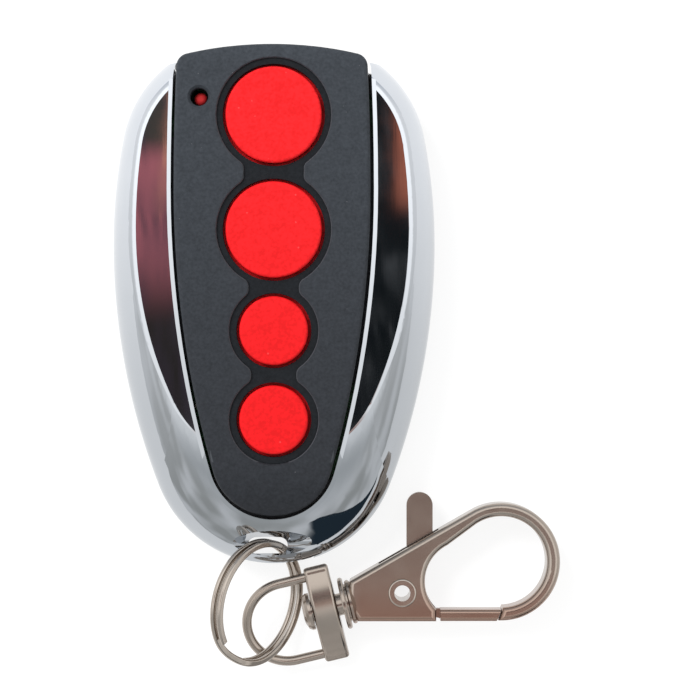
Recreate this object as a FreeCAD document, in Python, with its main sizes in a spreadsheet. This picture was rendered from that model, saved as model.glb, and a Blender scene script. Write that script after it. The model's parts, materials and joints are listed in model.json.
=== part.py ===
import FreeCAD, Part
import math
import os

import Sketcher

# Garage door remote lying on its back, with its split ring and swivel clasp.
# X is across the remote, Y runs from the key-ring end to the LED end, Z comes out of the keys.
# The origin is the centre of the flat rear face. All lengths are millimetres.

V = FreeCAD.Vector
UP = V(0, 0, 1)
FAR = 60.0
FULL_TURN = 360
BITE = 0.1

document = FreeCAD.newDocument("garage_remote")
sheet = document.addObject("Spreadsheet::Sheet", "sizes")
nodes = []

SIZES = [
    # Egg outline of the chrome at its widest level
    ("belly_half_width", 18.67), ("belly_widest_y", 7.0), ("belly_toe_y", -30.0),
    ("belly_toe_radius", 14.4), ("belly_side_radius", 64.0), ("belly_corner_start", 19.4),
    ("belly_corner_radius", 14.0), ("belly_height", 5.5),
    # Egg outline half way up the flank
    ("flank_half_width", 17.75), ("flank_widest_y", 7.6), ("flank_toe_y", -26.6),
    ("flank_toe_radius", 13.6), ("flank_side_radius", 66.0), ("flank_corner_start", 19.0),
    ("flank_corner_radius", 13.2), ("flank_drop", 2.4),
    # Egg outline of the flat facet
    ("facet_half_width", 16.05), ("facet_widest_y", 9.0), ("facet_toe_y", -18.35),
    ("facet_toe_radius", 12.7), ("facet_side_radius", 68.0), ("facet_corner_start", 17.6),
    ("facet_corner_radius", 11.7), ("facet_below_face", 1.4), ("facet_edge_round", 1.2),
    # Chrome frame
    ("frame_wall", 1.4), ("lip_tuck", 0.75), ("lip_step", 0.5), ("frame_end_y", 27.6),
    ("rear_end_step", 0.5),
    ("toe_block_y", -25.2), ("lip_width", 0.46), ("lip_rise", 0.17), ("seam_gap", 0.4),
    # Key-ring slot
    ("slot_left", 3.0), ("slot_right", 1.6), ("slot_inner_y", -27.1), ("bar_inner_y", -29.0),
    ("bar_bottom", 5.1), ("bar_bevel", 0.55), ("slot_edge_height", 5.6), ("relief_half", 4.6),
    ("relief_depth", 0.9), ("funnel_half_length", 5.6), ("funnel_half_width", 1.55),
    ("funnel_flare", 0.5),
    # Outline of the black front panel
    ("panel_half_width", 11.17), ("panel_widest_y", 13.0), ("panel_toe_y", -24.405),
    ("panel_upper_radius", 300.0),
    ("panel_toe_radius", 6.9), ("panel_top_y", 29.4), ("panel_top_radius", 41.0),
    ("panel_corner_radius", 1.5), ("panel_wall", 1.2), ("panel_plate", 1.7),
    ("panel_toe_run", 6.2), ("panel_toe_drop", 3.2), ("panel_top_run", 2.1),
    ("panel_top_over", 1.0), ("panel_top_drop", 1.9), ("skirt_depth", 3.6), ("parting_height", 5.4),
    ("end_block_gap", 0.35), ("panel_edge_round", 0.45), ("rail_reach", 1.4),
    ("rail_thick", 0.85), ("rail_bottom_y", -9.0), ("rail_top_y", 19.0),
    # Rear cover
    ("floor_wall", 1.1), ("tray_wall", 1.2), ("cover_gap", 0.15), ("tray_clear", 0.25),
    ("rear_edge_chamfer", 0.6), ("notch_radius", 4.8), ("label_length", 17.0),
    ("label_width", 14.0), ("label_depth", 0.25), ("label_y", -9.5), ("rib_height", 2.3),
    ("rib_wall", 1.0), ("rib_gap", 0.35), ("rib_slot", 5.6),
    # Screws
    ("screw_radius", 0.9), ("screw_head_radius", 1.75), ("screw_head_height", 1.1),
    ("screw_length", 7.6), ("screw_recess", 0.35), ("screw_gap", 0.15), ("pilot_gap", 0.02),
    ("front_post_wall", 0.85), ("rear_post_wall", 0.6), ("drive_width", 0.45),
    ("drive_length", 1.9), ("drive_depth", 0.6), ("upper_screw_x", 8.8),
    ("upper_screw_y", 14.9), ("lower_screw_y", -20.6),
    # Stack of the inner pieces
    ("contact_thick", 0.25), ("contact_slack", 0.05), ("cell_radius", 10.0),
    ("cell_thick", 3.2), ("cell_y", 4.0), ("cell_step", 0.45), ("cell_step_in", 1.1),
    ("strip_gap", 0.6), ("strip_start", 2.0), ("clip_length", 2.2), ("finger_width", 3.0),
    ("finger_root_x", 8.5), ("finger_bend_x", 5.0), ("finger_touch_x", 1.5),
    ("finger_end_x", 3.0), ("spring_room", 0.7), ("board_thick", 1.0), ("board_gap", 0.25),
    ("board_top_y", 25.2),
    ("board_toe_y", -23.3), ("switch_side", 6.0), ("switch_height", 2.1),
    ("switch_plate_thick", 0.25), ("switch_base_gap", 0.5), ("plunger_radius", 1.7),
    ("plunger_gap", 0.12), ("plunger_stand", 0.7), ("plunger_depth", 1.1),
    ("leg_reach", 1.0), ("leg_width", 0.7), ("leg_thick", 0.25), ("leg_spread", 2.25),
    # Keys and their web
    ("big_key_radius", 5.45), ("small_key_radius", 3.9), ("key_hole_gap", 0.35),
    ("key_flange", 0.65), ("key_flange_thick", 0.7), ("key_flange_gap", 0.1),
    ("key_stem_radius", 2.0), ("key_stem", 0.6), ("key_proud", 0.4), ("key_round", 0.35),
    ("key_x", 0.2), ("key_1_y", 21.25), ("key_2_y", 8.25), ("key_3_y", -3.2), ("key_4_y", -13.3),
    ("mat_thick", 0.8), ("mat_gap", 0.2), ("recess_depth", 0.35), ("recess_bevel", 0.12),
    ("big_lobe", 0.7), ("small_lobe", 0.8), ("neck_1_half", 3.4),
    ("neck_2_half", 2.85), ("neck_3_half", 2.55), ("neck_round", 1.0),
    # Status LED
    ("led_inset", 2.91), ("led_y", 23.3), ("led_hole_radius", 1.03), ("led_hole_chamfer", 0.28),
    ("led_shift_x", 0.12), ("led_shift_y", -0.14), ("led_radius", 0.75), ("led_rim", 0.2),
    ("led_rim_thick", 0.6), ("led_height", 4.7), ("led_pitch", 0.5), ("led_lead_radius", 0.22),
    ("led_lead_length", 1.5), ("led_gap", 0.3),
    # Board parts
    ("ic_length", 8.65), ("ic_width", 3.9), ("ic_height", 1.45), ("ic_pitch", 1.27),
    ("ic_x", 11.0), ("ic_y", -2.0), ("chip_stand", 0.1), ("ic_lead_reach", 1.0),
    ("lead_width", 0.4), ("lead_thick", 0.2), ("trim_slot_width", 0.35),
    ("transistor_length", 2.9), ("transistor_width", 1.3), ("transistor_height", 1.0),
    ("transistor_row", 0.95), ("chip_row", 7.0), ("chip_step", 2.0), ("chip_drop", 3.2),
    ("chip_shift", 2.4), ("chip_side_x", 6.5),
    ("saw_side", 5.0), ("saw_height", 1.4), ("saw_x", -10.6), ("saw_y", 1.5),
    ("trim_length", 4.5), ("trim_width", 3.2), ("trim_height", 1.2), ("trim_y", 9.0),
    ("trim_rotor_radius", 1.2), ("trim_rotor_height", 0.3), ("transistor_y", -6.5),
    ("chip_length", 1.6), ("chip_width", 0.8), ("chip_height", 0.5),
    ("antenna_radius", 0.35), ("antenna_x", 12.2), ("antenna_start_y", 9.8),
    ("antenna_length", 11.0), ("antenna_rise", 1.2), ("antenna_bend", 0.8),
    # Split ring
    ("ring_x", -1.85), ("ring_y", -34.6), ("ring_height", 6.75), ("ring_radius", 7.0),
    ("ring_strip", 0.85), ("ring_turn_thick", 0.55), ("ring_turn_gap", 0.42),
    ("ring_turn_left", 9.6), ("ring_tilt", 52.0), ("ring_cross_angle", 24.0),
    ("ring_cross_place", 205.0),
    # Bail and swivel
    ("swivel_x", 5.93), ("swivel_y", -35.64), ("swivel_height", 3.15), ("swivel_turn", 13.5),
    ("bail_tilt", 12.0), ("boss_thick", 2.9), ("boss_half_width", 5.23), ("bail_shift", 0.62),
    ("boss_half_height", 2.2), ("boss_round", 0.4), ("loop_half_width", 4.8),
    ("loop_reach", 9.45), ("loop_rod_radius", 0.57), ("post_radius", 1.3), ("post_gap", 0.1),
    ("head_radius", 2.2), ("head_thick", 1.0), ("washer_radius", 3.05), ("washer_thick", 0.55),
    ("collar_radius", 2.6), ("collar_neck_radius", 1.9), ("collar_length", 1.1),
    ("collar_stand", 0.65), ("swivel_gap", 0.15), ("collar_groove", 0.2), ("collar_band", 0.4),
    ("collar_root", 1.4), ("collar_edge", 0.15), ("collar_groove_radius", 2.2),
    # Clasp
    ("clasp_thick", 4.0), ("clasp_shoulder_x", 8.83), ("clasp_shoulder_y", -32.33),
    ("clasp_back_x", 23.4), ("clasp_back_y", -23.98), ("hook_x", 26.5), ("hook_y", -30.1),
    ("hook_radius", 6.85), ("hook_width", 1.55), ("clasp_bottom_y", -37.05),
    ("clasp_heel_x", 9.8), ("gate_root_x", 18.9), ("gate_gap", 0.15), ("gate_width", 1.36),
    ("mouth_x", 26.65), ("throat_x", 17.65), ("throat_y", -31.6), ("clasp_round", 0.6),
    ("elbow_x", 20.2), ("elbow_depth", 2.35), ("hook_back_lead", 7.0), ("neck_x", 8.7),
    ("neck_low_y", -35.45), ("neck_high_y", -32.93),
    ("lever_slot", 1.8), ("lever_slot_x", 12.2), ("lever_slot_length", 7.0),
    ("lever_thick", 0.9), ("lever_x", 14.93), ("lever_y", -33.68), ("lever_hub_radius", 2.2),
    ("lever_bore_gap", 0.06), ("lever_rest", 0.1), ("tab_x", 17.0), ("tab_half_width", 1.53),
    ("tab_top_y", -22.06), ("tab_waist", 1.5), ("tab_waist_y", -31.2), ("tab_narrow_y", -28.6),
    ("web_inner_x", 18.55), ("gate_thick", 3.2), ("gate_start_x", 19.4), ("gate_lap", 1.0),
    ("gate_slant", 0.55), ("mouth_slant", 0.5), ("gate_round", 0.45),
    ("eyelet_hole", 0.93), ("eyelet_wall", 0.27), ("eyelet_flange", 0.45),
    ("eyelet_flange_thick", 0.35), ("eyelet_round", 0.2), ("spring_wire", 0.2), ("spring_coil", 1.7),
    ("spring_leg", 3.2), ("spring_lean", 10.0),
]

for row, (alias, number) in enumerate(SIZES, start=1):
    sheet.set("A%d" % row, alias)
    sheet.set("B%d" % row, str(number))
    sheet.setAlias("B%d" % row, alias)
document.recompute()


class Sizes:
    """Reads a size of the sheet by its name."""

    def __getattr__(self, alias):
        return float(sheet.get(alias))


s = Sizes()

# Heights that several pieces share, written as sums of the sheet's sizes
Z_CELL = "sizes.floor_wall + sizes.contact_thick + sizes.contact_slack"
Z_CELL_TOP = Z_CELL + " + sizes.cell_thick"
Z_BOARD = Z_CELL_TOP + " + sizes.spring_room"
Z_BOARD_TOP = Z_BOARD + " + sizes.board_thick"
Z_SWITCH_TOP = Z_BOARD_TOP + " + sizes.switch_height"
Z_PLUNGER_TOP = Z_SWITCH_TOP + " + sizes.plunger_stand"
Z_FLANGE = Z_PLUNGER_TOP + " + sizes.key_stem"
Z_PLATE = Z_FLANGE + " + sizes.key_flange_thick + sizes.key_flange_gap"
Z_FACE = Z_PLATE + " + sizes.panel_plate"
Z_KEY_TOP = Z_FACE + " + sizes.key_proud"
LED_X = "sizes.led_inset - sizes.panel_half_width + sizes.led_shift_x"
LED_Y = "sizes.led_y + sizes.led_shift_y"


def level(expression):
    """The number of millimetres that a sum of sizes comes to."""
    return float(sheet.evalExpression(expression))


z_face = level(Z_FACE)
z_plate = level(Z_PLATE)
z_board = level(Z_BOARD)
z_board_top = level(Z_BOARD_TOP)
z_facet = z_face - s.facet_below_face
led_x = s.led_inset - s.panel_half_width
z_lip = s.floor_wall + s.lip_step


# Helpers for document objects

def register(thing, label):
    """Names a finished sub-part after its node."""
    thing.Label = label
    nodes.append(thing)
    return thing


def place(thing, x="0", y="0", z="0"):
    """Binds the place of an object to sums of sizes."""
    for axis, expression in zip("xyz", (x, y, z)):
        thing.setExpression(".Placement.Base." + axis, expression)
    return thing


def cylinder(name, radius, height, x="0", y="0", z="0"):
    thing = document.addObject("Part::Cylinder", name)
    thing.setExpression("Radius", radius)
    thing.setExpression("Height", height)
    return place(thing, x, y, z)


def block(name, length, width, height, x="0", y="0", z="0"):
    """A box whose x and y give its centre and whose z gives its underside."""
    thing = document.addObject("Part::Box", name)
    thing.setExpression("Length", length)
    thing.setExpression("Width", width)
    thing.setExpression("Height", height)
    return place(thing, "%s - (%s) / 2" % (x, length), "%s - (%s) / 2" % (y, width), z)


def fused(name, parts):
    thing = document.addObject("Part::MultiFuse", name)
    thing.Shapes = parts
    return thing


def cut_from(name, base, tool):
    thing = document.addObject("Part::Cut", name)
    thing.Base = base
    thing.Tool = tool
    return thing


def feature(label, shape, placement=None):
    """A sub-part whose shape is worked out from the sheet's sizes."""
    thing = document.addObject("Part::Feature", label)
    thing.Shape = shape
    thing.Placement = placement or FreeCAD.Placement()
    return register(thing, label)


def body_with(label):
    thing = document.addObject("PartDesign::Body", label)
    return register(thing, label)


def flat_sketch(owner, name, height):
    """A sketch parallel to the body's own XY plane at a bound height."""
    planes = [item for item in owner.Origin.OriginFeatures if item.Role == "XY_Plane"]
    sketch = owner.newObject("Sketcher::SketchObject", name)
    sketch.AttachmentSupport = [(planes[0], "")]
    sketch.MapMode = "FlatFace"
    sketch.setExpression(".AttachmentOffset.Base.z", height)
    return sketch


def sketch_circle(sketch, radius):
    """A circle on the sketch's origin whose radius is bound to the sheet."""
    index = sketch.addGeometry(Part.Circle(V(0, 0, 0), UP, 1.0), False)
    sketch.addConstraint(Sketcher.Constraint("Coincident", index, 3, -1, 1))
    rule = sketch.addConstraint(Sketcher.Constraint("Radius", index, 1.0))
    sketch.setExpression("Constraints[%d]" % rule, radius)


def disc(owner, name, radius, height, z):
    """Pads a round disc of a body."""
    sketch = flat_sketch(owner, name + "_sketch", z)
    sketch_circle(sketch, radius)
    pad = owner.newObject("PartDesign::Pad", name)
    pad.Profile = sketch
    pad.setExpression("Length", height)
    return pad


# Helpers for shapes

def arc(centre, radius, start, end, z):
    """An arc between two angles in radians."""
    angles = (start, (start + end) / 2, end)
    points = [V(centre[0] + radius * math.cos(a), centre[1] + radius * math.sin(a), z) for a in angles]
    return Part.Arc(*points).toShape()


def mirrored(centre):
    return (-centre[0], centre[1])


def egg(name, z, inset=0.0):
    """The egg outline of one level of the chrome, drawn in by inset."""
    half, widest = getattr(s, name + "_half_width"), getattr(s, name + "_widest_y")
    toe, toe_r = getattr(s, name + "_toe_y"), getattr(s, name + "_toe_radius")
    side_r, corner_r = getattr(s, name + "_side_radius"), getattr(s, name + "_corner_radius")
    toe_centre = (0.0, toe + toe_r)
    rise = widest - toe_centre[1]
    low_r = (half ** 2 + rise ** 2 - toe_r ** 2) / (2 * (half - toe_r))
    low_centre = (half - low_r, widest)
    low_angle = math.atan2(toe_centre[1] - low_centre[1], toe_centre[0] - low_centre[0])
    up_angle = math.asin((getattr(s, name + "_corner_start") - widest) / side_r)
    up_centre = (half - side_r, widest)
    reach = side_r - corner_r
    corner = (up_centre[0] + reach * math.cos(up_angle), widest + reach * math.sin(up_angle))
    top = corner[1] + corner_r - inset
    pi = math.pi
    return Part.Wire([
        arc(low_centre, low_r - inset, low_angle, 0, z),
        arc(up_centre, side_r - inset, 0, up_angle, z),
        arc(corner, corner_r - inset, up_angle, pi / 2, z),
        Part.makeLine(V(corner[0], top, z), V(-corner[0], top, z)),
        arc(mirrored(corner), corner_r - inset, pi / 2, pi - up_angle, z),
        arc(mirrored(up_centre), side_r - inset, pi - up_angle, pi, z),
        arc(mirrored(low_centre), low_r - inset, pi, pi - low_angle, z),
        arc(toe_centre, toe_r - inset, pi - low_angle, 2 * pi + low_angle, z),
    ])


def panel_outline(z, inset=0.0):
    """The outline of the front panel, drawn in by inset, or let out where that is negative."""
    half = s.panel_half_width
    toe = (0.0, s.panel_toe_y + s.panel_toe_radius)
    rise = s.panel_widest_y - toe[1]
    side_radius = (half ** 2 + rise ** 2 - s.panel_toe_radius ** 2) / (2 * (half - s.panel_toe_radius))
    side_r, upper_r = side_radius - inset, s.panel_upper_radius - inset
    top_r = s.panel_top_radius - inset
    toe_r, corner_r = s.panel_toe_radius - inset, max(s.panel_corner_radius - inset, 0.3)
    side = (half - side_radius, s.panel_widest_y)
    upper = (half - s.panel_upper_radius, s.panel_widest_y)
    top = (0.0, s.panel_top_y - s.panel_top_radius)
    span = math.dist(upper, top)
    near, far = upper_r - corner_r, top_r - corner_r
    along = (near ** 2 - far ** 2 + span ** 2) / (2 * span)
    off = math.sqrt(near ** 2 - along ** 2)
    unit = ((top[0] - upper[0]) / span, (top[1] - upper[1]) / span)
    corner = (upper[0] + along * unit[0] - off * unit[1],
              upper[1] + along * unit[1] + off * unit[0])
    low = math.atan2(toe[1] - side[1], toe[0] - side[0])
    high = math.atan2(corner[1] - upper[1], corner[0] - upper[0])
    crest = math.atan2(corner[1] - top[1], corner[0] - top[0])
    pi = math.pi
    return Part.Wire([
        arc(side, side_r, low, 0, z),
        arc(upper, upper_r, 0, high, z),
        arc(corner, corner_r, high, crest, z),
        arc(top, top_r, crest, pi - crest, z),
        arc(mirrored(corner), corner_r, pi - crest, pi - high, z),
        arc(mirrored(upper), upper_r, pi - high, pi, z),
        arc(mirrored(side), side_r, pi, pi - low, z),
        arc(toe, toe_r, pi - low, 2 * pi + low, z),
    ])


def prism(wire, height):
    return Part.Face(wire).extrude(V(0, 0, height))


def room(x0, x1, y0, y1, z0, z1):
    """A box between two corners, used to trim other shapes."""
    return Part.makeBox(x1 - x0, y1 - y0, z1 - z0, V(x0, y0, z0))


def ellipse(centre_x, centre_y, half_x, half_y, z):
    curve = Part.Ellipse(V(centre_x, centre_y, z), half_x, half_y)
    return Part.Wire([curve.toShape()])


def post(x, y, radius, z0, z1):
    return Part.makeCylinder(radius, z1 - z0, V(x, y, z0))


screw_places = [
    (-s.upper_screw_x, s.upper_screw_y),
    (s.upper_screw_x, s.upper_screw_y),
    (0.0, s.lower_screw_y),
]
z_flank = z_facet - s.flank_drop
end_start = s.board_top_y + s.end_block_gap


flank_wall_share, facet_wall_share = 0.8, 0.65


def cavity(inset):
    """The hollow inside the chrome, drawn in by inset."""
    wall = s.frame_wall
    return Part.makeLoft([
        egg("belly", -1.0, s.lip_tuck + wall + inset),
        egg("belly", s.belly_height, wall + inset),
        egg("flank", z_flank - wall * flank_wall_share, wall * flank_wall_share + inset),
        egg("facet", z_facet - wall - inset, wall * facet_wall_share + inset),
    ], True, False)


# Chrome frame

outer = Part.makeLoft([
    egg("belly", z_lip, s.lip_tuck),
    egg("belly", s.belly_height),
    egg("flank", z_flank),
    egg("facet", z_facet),
], True, False)
hollow = cavity(0.0).common(room(-FAR, FAR, s.toe_block_y, FAR, -FAR, FAR))
aperture = prism(panel_outline(s.belly_height, -s.seam_gap), FAR)
end_bay = prism(panel_outline(-1, -s.seam_gap), FAR).common(
    room(-FAR, FAR, end_start - s.seam_gap, FAR, -1, FAR))
lip_bottom = z_facet - s.frame_wall
lip = prism(panel_outline(lip_bottom, -s.seam_gap - s.lip_width), z_facet - lip_bottom)
lip = lip.fuse(Part.makeLoft([
    panel_outline(z_facet, -s.seam_gap - s.lip_width),
    panel_outline(z_facet + 2 * s.lip_rise, -s.seam_gap + s.lip_width),
], True, True))
raised = outer.copy()
raised.translate(V(0, 0, 2 * s.lip_rise))
lip = lip.common(raised)
outer = outer.makeFillet(s.facet_edge_round, [
    edge for edge in outer.Edges if edge.BoundBox.ZMin > z_facet - 0.01])
slot_r = (s.slot_inner_y - s.bar_inner_y) / 2
slot_y = (s.slot_inner_y + s.bar_inner_y) / 2
slot_ends = (slot_r - s.slot_left, s.slot_right - slot_r)
slot = room(*slot_ends, s.bar_inner_y, s.slot_inner_y, -1, FAR)
for x in slot_ends:
    slot = slot.fuse(post(x, slot_y, slot_r, -1, FAR))
relief_y = s.slot_inner_y + s.relief_depth
relief = Part.Face(Part.makePolygon([
    V(0, -FAR, -1), V(0, -FAR, s.bar_bottom), V(0, s.bar_inner_y - s.bar_bevel, s.bar_bottom),
    V(0, s.bar_inner_y, s.slot_edge_height), V(0, s.slot_inner_y, s.slot_edge_height),
    V(0, relief_y, s.bar_bottom), V(0, relief_y, -1), V(0, -FAR, -1)]))
relief.translate(V(-s.relief_half, 0, 0))
relief = relief.extrude(V(2 * s.relief_half, 0, 0))
funnel_y = s.bar_inner_y + s.funnel_half_width - s.funnel_flare
funnel = Part.makeLoft([
    ellipse((s.slot_right - s.slot_left) / 2, slot_y, (s.slot_left + s.slot_right) / 2, slot_r,
            s.slot_edge_height),
    ellipse(0, funnel_y, s.funnel_half_length, s.funnel_half_width, z_flank - s.funnel_flare),
    ellipse(0, funnel_y, s.funnel_half_length + s.funnel_flare,
            s.funnel_half_width + s.funnel_flare, z_flank + 1),
], True, True)
chrome = outer.fuse(lip).cut(hollow).cut(aperture).cut(end_bay)
chrome = chrome.cut(room(-FAR, FAR, s.frame_end_y, FAR, -1, FAR))
chrome = chrome.cut(slot).cut(relief).cut(funnel)
feature("chrome_frame", chrome)


# Front cover

crown_bend_along, crown_bend_down = 0.65, 0.36


def crown(drop):
    """The volume under the panel's face, lowered by drop: flat, and rounded down at both ends."""
    top = z_face - drop
    toe_y, head_y = s.panel_toe_y + s.panel_toe_run, s.panel_top_y - s.panel_top_run
    end_toe, end_head = s.panel_toe_y - s.panel_edge_round, s.panel_top_y + s.panel_top_over
    toe_z, head_z = top - s.panel_toe_drop, top - s.panel_top_drop
    toe_mid = V(0, toe_y + (end_toe - toe_y) * crown_bend_along, top - s.panel_toe_drop * crown_bend_down)
    head_mid = V(0, head_y + (end_head - head_y) * crown_bend_along,
                 top - s.panel_top_drop * crown_bend_down)
    outline = [
        Part.makeLine(V(0, head_y, top), V(0, toe_y, top)),
        Part.Arc(V(0, toe_y, top), toe_mid, V(0, end_toe, toe_z)).toShape(),
        Part.makeLine(V(0, end_toe, toe_z), V(0, end_toe, -1)),
        Part.makeLine(V(0, end_toe, -1), V(0, end_head, -1)),
        Part.makeLine(V(0, end_head, -1), V(0, end_head, head_z)),
        Part.Arc(V(0, end_head, head_z), head_mid, V(0, head_y, top)).toShape(),
    ]
    section = Part.Face(Part.Wire(outline))
    section.translate(V(-FAR / 2, 0, 0))
    return section.extrude(V(FAR, 0, 0))


keys = [
    ("key_1", "sizes.key_1_y", "sizes.big_key_radius", s.key_1_y, s.big_key_radius, s.big_lobe),
    ("key_2", "sizes.key_2_y", "sizes.big_key_radius", s.key_2_y, s.big_key_radius, s.big_lobe),
    ("key_3", "sizes.key_3_y", "sizes.small_key_radius", s.key_3_y, s.small_key_radius, s.small_lobe),
    ("key_4", "sizes.key_4_y", "sizes.small_key_radius", s.key_4_y, s.small_key_radius, s.small_lobe),
]
z_skirt = z_face - s.skirt_depth
panel = prism(panel_outline(z_skirt), FAR)
panel = panel.fuse(prism(panel_outline(s.parting_height), FAR).common(
    room(-FAR, FAR, end_start, FAR, 0, FAR)))
panel = panel.common(crown(0.0))
face_edges = [
    edge for edge in panel.Edges
    if edge.BoundBox.ZMin > z_skirt + s.panel_edge_round / 2
    and edge.BoundBox.YLength > s.panel_edge_round / 2]
panel = panel.makeFillet(s.panel_edge_round, face_edges)
pocket = prism(panel_outline(0.0, s.panel_wall), FAR).common(crown(s.panel_plate))
panel = panel.cut(pocket)
recess = None
for _, _, _, y, radius, lobe in keys:
    well = post(s.key_x, y, radius + s.key_hole_gap + lobe, z_face - s.recess_depth, z_face + 1)
    recess = well if recess is None else recess.fuse(well)
necks = [s.neck_1_half, s.neck_2_half, s.neck_3_half]
for (upper, lower), half in zip(zip(keys[:-1], keys[1:]), necks):
    recess = recess.fuse(room(s.key_x - half, s.key_x + half, lower[3], upper[3],
                              z_face - s.recess_depth, z_face + 1))
recess = recess.removeSplitter()
recess = recess.makeFillet(s.neck_round, [
    edge for edge in recess.Edges
    if edge.BoundBox.ZLength > s.recess_depth and edge.BoundBox.XLength < 1e-6
    and all(abs(edge.BoundBox.YMin - y) > s.neck_round for _, _, _, y, _, _ in keys)])
panel = panel.cut(recess)
lobe_reach = s.big_key_radius + s.key_hole_gap + s.big_lobe + s.recess_bevel
panel = panel.makeChamfer(s.recess_bevel, [
    edge for edge in panel.Edges
    if edge.BoundBox.ZMin > z_face - s.recess_depth / 2 and edge.BoundBox.YLength > s.recess_bevel
    and abs(edge.CenterOfMass.x - s.key_x) < lobe_reach
    and s.key_4_y - lobe_reach < edge.CenterOfMass.y < s.key_1_y + lobe_reach])
for _, _, _, y, radius, _ in keys:
    panel = panel.cut(post(s.key_x, y, radius + s.key_hole_gap, z_plate - 1, z_face + 1))
panel = panel.cut(post(led_x, s.led_y, s.led_hole_radius, z_plate - 1, z_face + 1))
panel = panel.cut(Part.makeCone(s.led_hole_radius, s.led_hole_radius + s.led_hole_chamfer,
                                s.led_hole_chamfer, V(led_x, s.led_y, z_face - s.led_hole_chamfer)))
rails = prism(panel_outline(z_skirt, -s.rail_reach), s.rail_thick).cut(
    prism(panel_outline(z_skirt, 2 * BITE), FAR))
rails = rails.common(room(-FAR, FAR, s.rail_bottom_y, s.rail_top_y, 0, FAR)).common(cavity(s.cover_gap))
panel = panel.fuse(rails)
for x, y in screw_places:
    panel = panel.fuse(post(x, y, s.screw_radius + s.front_post_wall, z_board_top, z_plate + 0.5))
for x, y in screw_places:
    panel = panel.cut(post(x, y, s.screw_radius + s.pilot_gap, z_board_top - 1, z_plate - 0.3))
feature("front_cover", panel)


# Rear cover

end_gap = s.cover_gap
rear_end = s.frame_end_y - s.rear_end_step
tray_top = z_facet - s.frame_wall - s.cover_gap - s.tray_wall - s.tray_clear
plate = prism(egg("belly", 0.0, s.lip_tuck), z_lip - s.cover_gap)
plate = plate.common(room(-FAR, FAR, -FAR, rear_end, -1, FAR))
plate = plate.makeChamfer(s.rear_edge_chamfer, [
    edge for edge in plate.Edges if edge.BoundBox.ZMax < 0.01])
plate = plate.cut(prism(egg("belly", s.floor_wall, s.lip_tuck + s.frame_wall + 2 * s.cover_gap), FAR))
plate = plate.cut(post(0, s.belly_toe_y, s.notch_radius, -1, FAR))
tray = cavity(s.cover_gap).common(
    room(-FAR, FAR, s.toe_block_y + end_gap, rear_end, s.floor_wall - 2 * BITE, tray_top))
tray = tray.cut(cavity(s.cover_gap + s.tray_wall).common(
    room(-FAR, FAR, s.toe_block_y + end_gap + s.tray_wall, rear_end - s.tray_wall, 0, FAR)))
tray = tray.cut(prism(panel_outline(s.floor_wall, -s.cover_gap), FAR).common(
    room(-FAR, FAR, end_start - 1, FAR, 0, FAR)))
end_block = prism(panel_outline(0.0), s.parting_height - end_gap).cut(
    prism(panel_outline(s.floor_wall, s.panel_wall), FAR))
end_block = end_block.common(room(-FAR, FAR, end_start, FAR, -1, FAR))
rear = plate.fuse(tray).fuse(end_block)
ribs = post(0, s.cell_y, s.cell_radius + s.rib_gap + s.rib_wall, s.floor_wall - BITE,
            s.floor_wall + s.rib_height)
ribs = ribs.cut(post(0, s.cell_y, s.cell_radius + s.rib_gap, 0, FAR))
half_slot = s.rib_slot / 2
ribs = ribs.cut(room(0, FAR, s.cell_y - half_slot, s.cell_y + half_slot, 0, FAR))
rear = rear.fuse(ribs)
post_r = s.screw_head_radius + s.screw_gap + s.rear_post_wall
for x, y in screw_places:
    rear = rear.fuse(post(x, y, post_r, s.floor_wall - BITE, z_board))
head_seat = s.screw_recess + s.screw_head_height
for x, y in screw_places:
    rear = rear.cut(post(x, y, s.screw_radius + s.screw_gap, -1, FAR))
    rear = rear.cut(post(x, y, s.screw_head_radius + s.screw_gap, -1, head_seat))
half_label, half_wide = s.label_length / 2, s.label_width / 2
rear = rear.cut(room(-half_label, half_label, s.label_y - half_wide, s.label_y + half_wide,
                     -1, s.label_depth))
feature("rear_cover", rear)


# Screws

def drive_slot(owner, name, length, width):
    """Cuts one slot of the cross recess into the underside of a screw's head."""
    sketch = flat_sketch(owner, name + "_sketch", "sizes.screw_recess")
    corners = [V(-1, -1, 0), V(1, -1, 0), V(1, 1, 0), V(-1, 1, 0)]
    for index in range(4):
        sketch.addGeometry(Part.LineSegment(corners[index], corners[(index + 1) % 4]), False)
    for index in range(4):
        sketch.addConstraint(Sketcher.Constraint("Coincident", index, 2, (index + 1) % 4, 1))
    for index, kind in enumerate(("Horizontal", "Vertical", "Horizontal", "Vertical")):
        sketch.addConstraint(Sketcher.Constraint(kind, index))
    sketch.addConstraint(Sketcher.Constraint("Symmetric", 0, 1, 1, 2, -1, 1))
    for rule, expression in (
            (Sketcher.Constraint("DistanceX", 0, 1, 0, 2, 2.0), length),
            (Sketcher.Constraint("DistanceY", 1, 1, 1, 2, 2.0), width)):
        sketch.setExpression("Constraints[%d]" % sketch.addConstraint(rule), expression)
    document.recompute()
    pocket = owner.newObject("PartDesign::Pocket", name)
    pocket.Profile = sketch
    pocket.Reversed = True
    pocket.setExpression("Length", "sizes.drive_depth")


for number, (x, y) in enumerate([("-sizes.upper_screw_x", "sizes.upper_screw_y"),
                                 ("sizes.upper_screw_x", "sizes.upper_screw_y"),
                                 ("0", "sizes.lower_screw_y")], start=1):
    name = "cover_screw_%d" % number
    screw = body_with(name)
    disc(screw, name + "_head", "sizes.screw_head_radius", "sizes.screw_head_height",
         "sizes.screw_recess")
    disc(screw, name + "_shank", "sizes.screw_radius", "sizes.screw_length",
         "sizes.screw_recess + sizes.screw_head_height")
    drive_slot(screw, name + "_slot_x", "sizes.drive_length", "sizes.drive_width")
    drive_slot(screw, name + "_slot_y", "sizes.drive_width", "sizes.drive_length")
    place(screw, x, y, "0")


# Key web

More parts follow.
